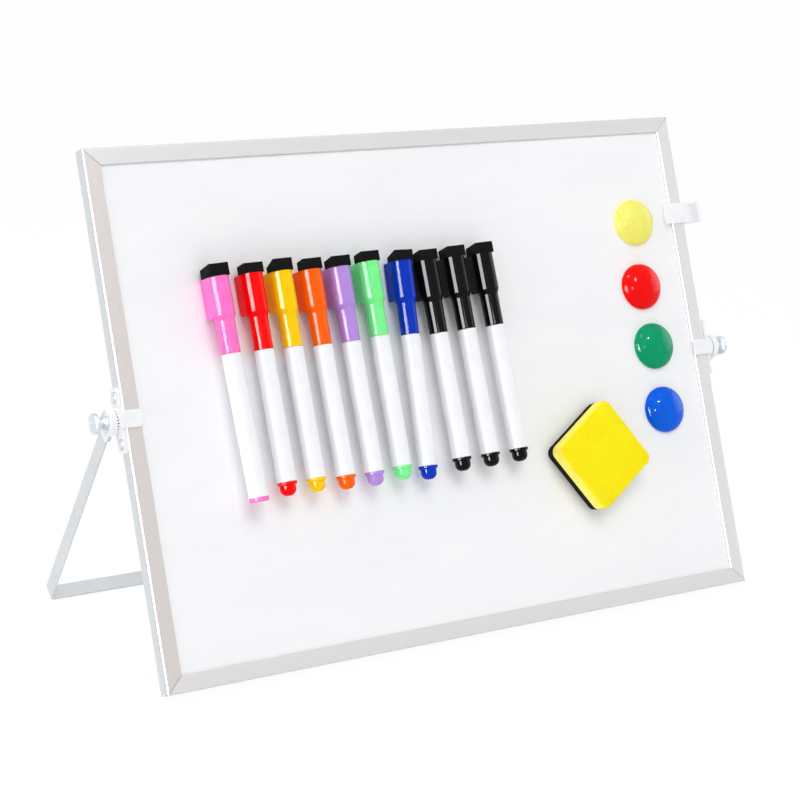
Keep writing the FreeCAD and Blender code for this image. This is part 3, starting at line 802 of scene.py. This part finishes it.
# Leg, heads, washers and clamping screws
head = {
    "radius": 7.5,
    "ringRound": 0.8,
    "innerWall": 2.1,
    "skin": 1.0,
    "skinLength": 11.3,
    "skinTop": 13.0,
    "skinEnd": 10.8,
    "taperStart": 3.0,
    "skinCorner": 1.0,
    "skinBack": 0.03,
    "tabWidth": 9.9,
    "tabLength": 12.0,
    "tabCorner": 1.0,
    "tabBack": 0.55,
    # how strongly the painted shadow darkens the tab
    "tabShadow": 0.3,
    "shadowFade": 0.2,
    "edge": 0.35,
}
strip = {
    "width": 9.5,
    "thick": 1.2,
    "fit": 0.05,
    "bend": 1.6,
    "length": 162.7,
    "topFlat": 0.1,
    "edge": 0.22,
    "colours": (seen(208, 212, 214), seen(214, 218, 220)),
}
headFace = halfWidth + bracket["bossReach"] + teeth["gap"]
slotInner = headFace + head["innerWall"]
slotOuter = slotInner + strip["thick"] + 2 * strip["fit"]
headOuter = slotOuter + head["skin"]


def legHead():
    ring = toothedRod(head["radius"], headFace, headOuter, headFace)
    startEdit(ring)
    pick("EDGE", lambda edge: lies(edge, 0, headOuter))
    rounding(head["ringRound"], 5)
    stopEdit()
    wide = head["tabWidth"] / 2
    tab = block((headFace + head["tabBack"], -wide, -head["tabLength"]), (slotInner, wide, 0))
    startEdit(tab)
    pick("EDGE", lambda edge: runsAlong(edge, 0) and lies(edge, 2, -head["tabLength"]))
    rounding(head["tabCorner"], 4)
    stopEdit()
    softEdges(tab, head["edge"], 3)
    top, low = head["skinTop"] / 2, head["skinEnd"] / 2
    outline = softCorners([
        (-top, 0, 0), (-top, -head["taperStart"], 0), (-low, -head["skinLength"], head["skinCorner"]),
        (low, -head["skinLength"], head["skinCorner"]), (top, -head["taperStart"], 0), (top, 0, 0),
    ])
    face = headOuter - head["skinBack"]
    skin = drawnOut(outline, 0, slotOuter, face)
    startEdit(skin)
    pick("EDGE", lambda edge: lies(edge, 0, face))
    rounding(head["ringRound"], 5)
    stopEdit()
    return putTogether(ring, tab, skin)


def legStrip():
    inner = slotInner + strip["fit"]
    outer = inner + strip["thick"]
    low = -strip["length"]
    top = strip["width"] / 2
    bend = strip["bend"]
    outline = softCorners([
        (-outer, top, 0), (-outer, low, bend + strip["thick"]), (outer, low, bend + strip["thick"]),
        (outer, top, 0), (inner, top, 0), (inner, low + strip["thick"], bend),
        (-inner, low + strip["thick"], bend), (-inner, top, 0),
    ], 8)
    made = drawnOut(outline, 1, -strip["width"] / 2, strip["width"] / 2)
    startEdit(made)
    pick("EDGE", lambda edge: runsAlong(edge, 0) and lies(edge, 2, top))
    rounding(strip["width"] / 2 - strip["topFlat"], 8)
    stopEdit()
    return softEdges(made, strip["edge"], 3, 50)


legPlace = sidePlace(1, legUp)
paint = paintFinish("legPaint", legPlace, *strip["colours"])
settle(legStrip(), "legStrip", legPlace, "leg", "leg_paint", paint, ["leg_frame"], 38, True)
headShape = legHead()
for side, sign in sides.items():
    place = sidePlace(sign, legUp)
    white = mouldedFinish("headWhite." + side, place, paintedShade=headPaintedShade, **whitePlastic)
    settle(copyOf(headShape), "legHead." + side, place, "leg", "white_plastic",
           white, ["leg_head_" + side], 38, True)
discard(headShape)

clamp = {
    "thread": 2.0,
    "threadEnd": 0.3,
    "gap": 0.05,
    "washer": 4.15,
    "washerThick": 0.8,
    "washerEdge": 0.15,
    "bore": 2.3,
    "collar": 3.8,
    "collarLong": 1.4,
    "neck": 2.6,
    "neckLong": 1.8,
    "cone": 3.6,
    "coneLong": 1.4,
    "knob": 6.0,
    "knobLong": 2.3,
    "chamfer": 0.4,
    "edge": 0.2,
    "dish": 4.4,
    "dishFloor": 4.2,
    "dishDeep": 0.12,
    "dishEdge": 0.15,
    "colours": (seen(200, 210, 216), seen(217, 225, 230)),
}


def thumbScrew():
    start = headOuter + 2 * clamp["gap"] + clamp["washerThick"]
    neck = start + clamp["collarLong"]
    cone = neck + clamp["neckLong"]
    rim = cone + clamp["coneLong"]
    end = rim + clamp["knobLong"]
    thread = halfWidth + clamp["threadEnd"]
    dish = end - clamp["dishDeep"]
    cut, edge = clamp["chamfer"], clamp["edge"]
    profile = softCorners([
        (thread, 0, 0), (thread, clamp["thread"], 0), (start, clamp["thread"], 0),
        (start, clamp["collar"], edge), (neck, clamp["collar"], cut), (neck, clamp["neck"], cut),
        (cone, clamp["neck"], cut), (cone, clamp["cone"], edge), (rim, clamp["knob"], cut),
        (end, clamp["knob"], cut), (end, clamp["dish"], clamp["dishEdge"]),
        (dish, clamp["dishFloor"], clamp["dishEdge"]), (dish, 0, 0),
    ], 4)
    return turned(profile, 0, 72)


def lockWasher():
    start = headOuter + clamp["gap"]
    end = start + clamp["washerThick"]
    profile = softCorners([(start, clamp["bore"], 0), (start, clamp["washer"], clamp["washerEdge"]),
                           (end, clamp["washer"], clamp["edge"]), (end, clamp["bore"], 0)], 3)
    return turned(profile, 0, 56, True)


thumbShape = thumbScrew()
washerShape = lockWasher()
for side, sign in sides.items():
    place = sidePlace(sign, boardUp)
    zinc = zincFinish("clampZinc." + side, place, *clamp["colours"], 0.28, True, 0.6)
    settle(copyOf(thumbShape), "thumbScrew." + side, place, "thumb_" + side, "zinc_steel",
           zinc, ["thumb_screw_" + side], 30)
    settle(copyOf(washerShape), "lockWasher." + side, place, "washer_" + side, "zinc_steel",
           zinc, ["lock_washer_" + side], 30)
discard(thumbShape, washerShape)
print("leg done")

# Pen clip on the right rail
clip = {
    "height": 12.9,
    "frontThick": 1.75,
    "frontWide": 17.7,
    "fit": 0.3,
    "sideWall": 1.7,
    "backWall": 1.5,
    "backReach": 8.0,
    "sheetGap": 0.3,
    "cradle": 4.2,
    "cradleWall": 1.5,
    "cradleDeep": 1.5,
    "lip": 3.0,
    "corner": 0.5,
    "edge": 0.4,
    "colours": (seen(246, 247, 249), seen(242, 243, 246)),
}


def penClip():
    bottom = reach(boardPlace, "pen_clip")[0].z
    front = -clip["fit"] - clip["frontThick"]
    inner = halfWidth + clip["fit"]
    outer = inner + clip["sideWall"]
    left = outer - clip["frontWide"]
    hook = halfWidth - rail["face"] - clip["fit"]
    backInner = rail["depth"] + clip["fit"]
    backOuter = backInner + clip["backWall"]
    onSheet = sheetFront - clip["sheetGap"]
    soft = clip["corner"]
    centre = (outer + clip["cradle"], clip["cradleDeep"])
    big = clip["cradle"] + clip["cradleWall"]
    meet = math.degrees(math.acos(clip["cradle"] / big))
    tipX = centre[0] + clip["cradle"] + clip["cradleWall"] / 2
    first = softCorners([(left, onSheet, soft), (left, front, soft), (outer, front, soft),
                         (outer, centre[1], 0)], 4)
    last = softCorners([(outer, centre[1], 0), (outer, backOuter, soft),
                        (halfWidth - clip["backReach"], backOuter, soft),
                        (halfWidth - clip["backReach"], backInner, 0), (inner, backInner, 0),
                        (inner, -clip["fit"], 0), (hook, -clip["fit"], 0), (hook, onSheet, 0)], 4)
    # the points beside the cradle only give a direction, and the cradle's arcs take their place
    outline = first[:-1]
    outline += arcPoints(centre, clip["cradle"], 180, 0, 24)
    outline += arcPoints((tipX, -clip["lip"] + clip["cradleWall"] / 2), clip["cradleWall"] / 2, -180, 0, 8)
    outline += arcPoints(centre, big, 0, 180 - meet, 28)
    outline += last[1:]
    made = drawnOut(outline, 2, bottom, bottom + clip["height"])
    return softEdges(made, clip["edge"], 3, 50)


clipWhite = mouldedFinish("clipWhite", boardPlace, *clip["colours"], 0.4, 0.06, 0.04)
settle(penClip(), "penClip", boardPlace, "pen_clip", "white_plastic", clipWhite, ["pen_clip"])
print("pen clip done")

# Round magnets
magnet = {
    "radius": 14.7,
    "height": 8.2,
    "rim": 1.0,
    "shoulder": 4.46,
    "shoulderStart": 38,
    "shoulderEnd": 80,
    "shoulderIn": 0.1,
    "footIn": 0.05,
    "footRound": 0.25,
    "steps": 16,
    "pocket": 10.04,
    "pocketDeep": 3.64,
    "colours": {
        "yellow": (seen(244, 239, 119), seen(240, 233, 104)),
        "red": (seen(250, 3, 2), seen(238, 2, 2)),
        "green": (seen(0, 157, 108), seen(0, 148, 101)),
        "blue": (seen(0, 98, 230), seen(0, 90, 218)),
    },
}


def magnetCap():
    # a wide crown on a tight shoulder, two arcs that meet at the same slope
    first, last = math.radians(magnet["shoulderStart"]), math.radians(magnet["shoulderEnd"])
    small, steps = magnet["shoulder"], magnet["steps"]
    out = magnet["radius"] - magnet["shoulderIn"] - small * math.sin(last)
    low = magnet["rim"] - small * math.cos(last)
    crown = small + out / math.sin(first)
    angles = [last - (last - first) * step / steps for step in range(steps + 1)]
    dome = [(low + small * math.cos(angle), out + small * math.sin(angle)) for angle in angles]
    angles = [first * (1 - step / steps) for step in range(1, steps + 1)]
    dome += [(magnet["height"] - crown * (1 - math.cos(angle)), crown * math.sin(angle)) for angle in angles]
    deep, pocket = magnet["pocketDeep"], magnet["pocket"]
    under = [(deep, 0, 0), (deep, pocket, 0), (0, pocket, 0),
             (0, magnet["radius"] - magnet["footIn"], magnet["footRound"]), (dome[0][0], dome[0][1], 0)]
    profile = [(point.x, point.y) for point in softCorners(under, 4)] + dome[1:]
    return turned(profile, 2, 96)


magnetShape = magnetCap()
for colour, (paint, shade) in magnet["colours"].items():
    place = restingPlace(across, boardUp, "magnet_cap_" + colour)
    glossy = mouldedFinish("magnetPlastic." + colour, place, paint, shade, 0.07, 0.002, 0.11)
    settle(copyOf(magnetShape), "magnetCap." + colour, place, "magnet_" + colour,
           "magnet_" + colour, glossy, ["magnet_cap_" + colour], 30)
    ferrite = plainFinish("ferrite." + colour, place, seen(52, 50, 50), seen(74, 72, 72), 0.55, 0.0, 1.2)
    coat(frame["nodes"]["magnet_ferrite_" + colour], ferrite)
discard(magnetShape)
print("magnets done")

# Eraser
eraser = {
    "side": 50.0,
    "corner": 5.0,
    "turn": 33.9,
    "foam": 9.1,
    "round": 2.0,
    "layer": 2.9,
    "inset": 0.35,
    "seam": 0.02,
    "feltRound": 0.35,
    "sheetRound": 0.2,
    "colours": (seen(255, 242, 6), seen(254, 236, 2)),
    "sides": seen(255, 247, 122),
    "fadeDeep": 2.0,  # below the upper face, where the sides' colour starts to fade
    "fadeTop": 0.4,
    # painted shade inside the pores
    "poreShade": seen(236, 206, 0),
    "felt": (seen(12, 12, 13), seen(32, 32, 34)),
}


def eraserPlace():
    turn = math.radians(eraser["turn"])
    ownX = across * math.cos(turn) + boardUp * math.sin(turn)
    ownY = boardUp * math.cos(turn) - across * math.sin(turn)
    return restingPlace(ownX, ownY, "eraser_foam", "eraser_felt_and_magnet")


def eraserBlock(low, high, inset, topRound):
    half = eraser["side"] / 2 - inset
    made = block((-half, -half, low), (half, half, high))
    startEdit(made)
    pick("EDGE", lambda edge: runsAlong(edge, 2))
    rounding(eraser["corner"] - inset, 8)
    pick("EDGE", lambda edge: lies(edge, 2, high))
    rounding(topRound, 5)
    stopEdit()
    return made


foamPlace = eraserPlace()
foamStart = 2 * eraser["layer"]
foam = eraserBlock(foamStart, foamStart + eraser["foam"], 0, eraser["round"])
settle(foam, "eraserFoam", foamPlace, "eraser", "eraser_foam", foamFinish("yellowFoam", foamPlace),
       ["eraser_foam"], 30)
layer, seam = eraser["layer"], eraser["seam"]
feltLayer = eraserBlock(layer + seam, foamStart - seam, 0, eraser["feltRound"])
sheetLayer = eraserBlock(0, layer - seam, eraser["inset"], eraser["sheetRound"])
under = putTogether(feltLayer, sheetLayer)
settle(under, "eraserPad", foamPlace, "eraser", "black_felt",
       feltFinish("eraserFelt", foamPlace, *eraser["felt"]), ["eraser_felt_and_magnet"])
print("eraser done")

# Markers
marker = {
    "axisHeight": 9.5,
    "nibReach": 20.5,
    "barrel": 5.65,
    "tailEdge": 0.15,
    "frontEdge": 0.4,
    "neck": 4.5,
    "neckLong": 7.0,
    "neckFoot": 0.1,
    "neckEdge": 0.5,
    "holder": 3.3,
    "holderFoot": 0.2,
    "holderTip": 2.3,
    "holderLong": 9.0,
    "holderEdge": 0.4,
    "nib": 1.6,
    "nibOut": 4.5,
    "nibIn": 1.0,
    "nibRound": 1.1,
    "flange": 5.7,
    "flangeLong": 1.9,
    "flangeStart": 0.2,
    "flangeEdge": 0.5,
    "dome": 4.7,
    "domeFoot": 0.25,
    "domeLong": 6.2,
    "domeRound": 3.9,
    "flatPlug": 2.6,
    "flatStart": 0.1,
    "flatEdge": 0.45,
    "colours": (seen(246, 247, 249), seen(241, 242, 245)),
}
cap = {
    "seam": 0.15,
    "foot": 5.5,
    "footEdge": 0.25,
    "waist": 5.6,
    "lower": 18.9,
    "step": 3.2,
    "coneEdge": 0.3,
    "upper": 6.75,
    "length": 43.9,
    "housingStart": 2.0,
    "bore": 4.6,
    "boreLong": 33.0,
    "corner": 1.5,
    "footRound": 3.6,
    "edge": 0.2,
}
pad = {
    "inset": 0.7,
    "cornerCut": 0.7,
    "slant": 0.5,
    "slantStart": 1.2,
    "bevel": 0.35,
    "bevelDrop": 0.8,
    "edge": 0.2,
    "colours": (seen(9, 9, 10), seen(27, 27, 29)),
    "cuts": {  # where each pad starts above the sheet, and how much shorter it is there
        "pink": (2.0, 1.4), "red": (5.4, 0.6), "yellow": (5.0, 3.2), "orange": (7.0, 0.9),
        "lavender": (4.6, 1.4), "green": (5.6, 1.0), "blue": (5.0, 2.6),
        "black_a": (4.4, 1.2), "black_b": (4.0, 0.9), "black_c": (3.0, 1.5),
    },
}
black = (seen(10, 10, 11), seen(14, 14, 15))
inks = {
    "pink": (seen(255, 126, 205), seen(250, 112, 196)),
    "red": (seen(254, 2, 3), seen(242, 1, 2)),
    "yellow": (seen(255, 209, 0), seen(252, 198, 0)),
    "orange": (seen(255, 102, 2), seen(252, 92, 0)),
    "lavender": (seen(185, 146, 226), seen(176, 134, 218)),
    "green": (seen(130, 250, 152), seen(112, 240, 134)),
    "blue": (seen(4, 56, 190), seen(2, 46, 176)),
    "black_a": black,
    "black_b": black,
    "black_c": black,
}


def onAxis(piece):
    return shift(piece, (0, 0, marker["axisHeight"]))


def capShape():
    end = cap["length"]
    start = cap["lower"] + cap["housingStart"]
    shell = turned(softCorners([
        (cap["boreLong"], 0, 0), (cap["boreLong"], cap["bore"], 0), (cap["seam"], cap["bore"], 0),
        (cap["seam"], cap["foot"], cap["footEdge"]), (cap["lower"], cap["waist"], cap["coneEdge"]),
        (cap["lower"] + cap["step"], cap["upper"], cap["coneEdge"]), (end, cap["upper"], 0), (end, 0, 0),
    ], 5), 1, 72)
    onAxis(shell)
    wide = cap["upper"]
    high = marker["axisHeight"]
    housing = drawnOut(softCorners([
        (-wide, high, 0), (-wide, 0, cap["corner"]), (wide, 0, cap["corner"]), (wide, high, 0),
    ]), 1, start, end)
    side = drawnOut(softCorners([
        (start, high + overrun, 0), (start, 0, cap["footRound"]), (end + overrun, 0, 0),
        (end + overrun, high + overrun, 0),
    ], 8), 0, -wide - overrun, wide + overrun)
    combine(housing, "INTERSECT", side)
    combine(shell, "UNION", housing)
    return softEdges(shell, cap["edge"], 3, 50)


def feltShape(colour, end):
    # hand-cut pad from the glued face, its far end sloping down towards the sheet
    half = cap["upper"] - pad["inset"]
    front = marker["axisHeight"] + half
    back, drop = pad["cuts"][colour]
    cut = pad["cornerCut"]
    start = cap["length"]
    made = drawnOut([(-half, back), (half, back), (half, front - cut), (half - cut, front),
                     (cut - half, front), (-half, front - cut)], 1, start, end)
    side = drawnOut([
        (start - overrun, back - overrun), (end - drop - pad["slant"], back - overrun),
        (end - drop, back + pad["slantStart"]), (end, front - pad["bevelDrop"]),
        (end - pad["bevel"], front + overrun), (start - overrun, front + overrun),
    ], 0, -half - overrun, half + overrun)
    combine(made, "INTERSECT", side)
    return softEdges(made, pad["edge"], 2, 15)


def barrelProfile(end):
    hold = marker["neckLong"] + marker["holderLong"]
    return softCorners([
        (end, 0, 0), (end, marker["barrel"], marker["tailEdge"]), (0, marker["barrel"], marker["frontEdge"]),
        (0, marker["neck"], marker["neckFoot"]), (marker["neckLong"], marker["neck"], marker["neckEdge"]),
        (marker["neckLong"], marker["holder"], marker["holderFoot"]),
        (hold, marker["holderTip"], marker["holderEdge"]), (hold, 0, 0),
    ], 4)


def plugProfile(end, flat):
    if flat:
        tail = end - marker["flatPlug"]
        return softCorners([(end, 0, 0), (end, marker["barrel"], marker["flatStart"]),
                            (tail, marker["barrel"], marker["flatEdge"]), (tail, 0, 0)], 4)
    flange = end - marker["flangeLong"]
    tail = flange - marker["domeLong"]
    return softCorners([
        (end, 0, 0), (end, marker["flange"], marker["flangeStart"]),
        (flange, marker["flange"], marker["flangeEdge"]), (flange, marker["dome"], marker["domeFoot"]),
        (tail, marker["dome"], marker["domeRound"]), (tail, 0, 0),
    ], 7)


capTemplate = capShape()
nibEnd = marker["nibReach"]
nibStart = nibEnd - marker["nibOut"] - marker["nibIn"]
nibTemplate = onAxis(turned(softCorners([
    (nibStart, 0, 0), (nibStart, marker["nib"], 0),
    (nibEnd, marker["nib"], marker["nibRound"]), (nibEnd, 0, 0),
], 5), 1, 32))
for colour, (paint, shade) in inks.items():
    place, tail = markerPlace(colour)
    flat = colour == "pink"
    plugLong = marker["flatPlug"] if flat else marker["flangeLong"] + marker["domeLong"]
    barrelEnd = tail + plugLong
    body = "marker_" + colour
    slotName = "ink_" + colour.split("_")[0]
    ink = mouldedFinish("capPlastic." + colour, place, paint, shade, 0.075, 0.002, 0.1)
    white = mouldedFinish("barrelPlastic." + colour, place, *marker["colours"], 0.22, 0.01, 0.04)
    felt = feltFinish("capFelt." + colour, place, *pad["colours"])
    settle(onAxis(turned(barrelProfile(barrelEnd), 1, 64)), "barrel." + colour, place, body,
           "marker_barrel", white, ["marker_body_" + colour], 30, True)
    settle(onAxis(turned(plugProfile(barrelEnd, flat), 1, 56)), "tailPlug." + colour, place, body,
           slotName, ink, (), 30)
    settle(copyOf(nibTemplate), "nib." + colour, place, body, slotName,
           feltFinish("nibFelt." + colour, place, paint, shade), (), 30)
    settle(copyOf(capTemplate), "cap." + colour, place, "cap_" + colour, slotName, ink,
           ["marker_cap_" + colour], 30, True)
    tip = feltShape(colour, reach(place, "cap_felt_" + colour)[1].y)
    settle(tip, "capFelt." + colour, place, "cap_" + colour, "cap_felt", felt, ["cap_felt_" + colour])
discard(capTemplate, nibTemplate)
print("markers done")

# Floor, lamps and sky
stage = {
    "floor": seen(250, 250, 251),
    "floorSize": 12,
    "floorGlow": 0.95,
    "white": (1, 1, 1, 1),
    "skyLevel": 0.65,
    "lampsAway": 3.0,
}
# Even light comes from above and from the left; what shows as a mirror image is a lamp of its own.
# Each lamp has its way from the board's middle, size, watts, whether it gives light, whether it shows.
lamps = {
    "overhead": ((-0.05, 0.6, 0.8), (1.6, 1.6), 29.5, True, False),
    "sideLight": ((-0.98, 0.1, 0.16), (1.8, 1.8), 16, True, False),
    "sideImage": ((-0.883, 0.03, 0.469), (1.65, 1.4), 420, False, True),
    "rightImage": ((0.99, 0.05, 0.1), (2.8, 2.8), 40, False, True),
}
ceilingDots = {
    "ways": (((-0.288, 0.755, 0.59), 0.24), ((0.013, 0.491, 0.871), 0.2), ((-0.357, 0.033, 0.934), 0.14)),
    "distance": 2.35,
    "power": 560,
}


def lookedAt(bench):
    # rays from the camera, and those that metal or glass sends on
    seenBy = [bench.node("ShaderNodeLightPath", None, None, "Is " + kind + " Ray")
              for kind in ("Camera", "Glossy", "Transmission")]
    return bench.maths("MAXIMUM", seenBy[0], bench.maths("MAXIMUM", *seenBy[1:]))


def layFloor():
    takeUp(None)
    bpy.ops.mesh.primitive_plane_add(size=stage["floorSize"], location=(0, 0, 0))
    floor = bpy.context.object
    floor.name = "floor"
    finish = bpy.data.materials.new("paleFloor")
    bench = emptyBench(finish)
    matt = bench.node("ShaderNodeBsdfDiffuse", None, {"Color": stage["floor"]})
    glow = bench.node("ShaderNodeEmission", None, {"Color": stage["white"], "Strength": 1.0})
    share = lookedAt(bench) * stage["floorGlow"]
    both = bench.node("ShaderNodeMixShader", None, {0: share, 1: matt, 2: glow})
    bench.node("ShaderNodeOutputMaterial", None, {"Surface": both})
    floor.data.materials.append(finish)


def hangSky():
    world = bpy.data.worlds.new("studio")
    bpy.context.scene.world = world
    bench = emptyBench(world)
    soft = bench.node("ShaderNodeBackground", None, {"Color": stage["white"], "Strength": stage["skyLevel"]})
    white = bench.node("ShaderNodeBackground", None, {"Color": stage["white"], "Strength": 1.0})
    both = bench.node("ShaderNodeMixShader", None, {0: lookedAt(bench), 1: soft, 2: white})
    bench.node("ShaderNodeOutputWorld", None, {"Surface": both})


def hangLamp(name, spot, target, size, watts, diffuse, glossy):
    takeUp(None)
    aim = (Vector(target) - Vector(spot)).to_track_quat("-Z", "Y").to_euler()
    bpy.ops.object.light_add(type="AREA", location=spot, rotation=aim)
    lamp = bpy.context.object
    lamp.name = name
    lamp.data.shape = "RECTANGLE"
    lamp.data.size = size[0]
    lamp.data.size_y = size[1]
    lamp.data.energy = watts
    lamp.visible_diffuse = diffuse
    lamp.visible_glossy = glossy


layFloor()
hangSky()
boardMiddle = boardPlace @ Vector((0, 0, boardHeight / 2))


def fromBoard(right, up, forward, distance):
    way = (across * right + boardUp * up - boardBack * forward).normalized()
    return boardMiddle + way * distance


for name, (way, size, watts, diffuse, glossy) in lamps.items():
    hangLamp(name, fromBoard(*way, stage["lampsAway"]), boardMiddle, size, watts, diffuse, glossy)
# The leg's foot lies in the board's shade, so it has a small lamp of its own
hangLamp("rearLight", (-0.1, 0.45, 0.75), (-0.1, 0.07, 0), (0.5, 0.5), 2.4, True, False)
# Small ceiling lamps that only show as dots on glossy domes
for index, (way, wide) in enumerate(ceilingDots["ways"]):
    hangLamp("ceilingDot" + str(index), fromBoard(*way, ceilingDots["distance"]), boardMiddle, (wide, wide),
             ceilingDots["power"] * wide * wide, False, True)
print("stage done")
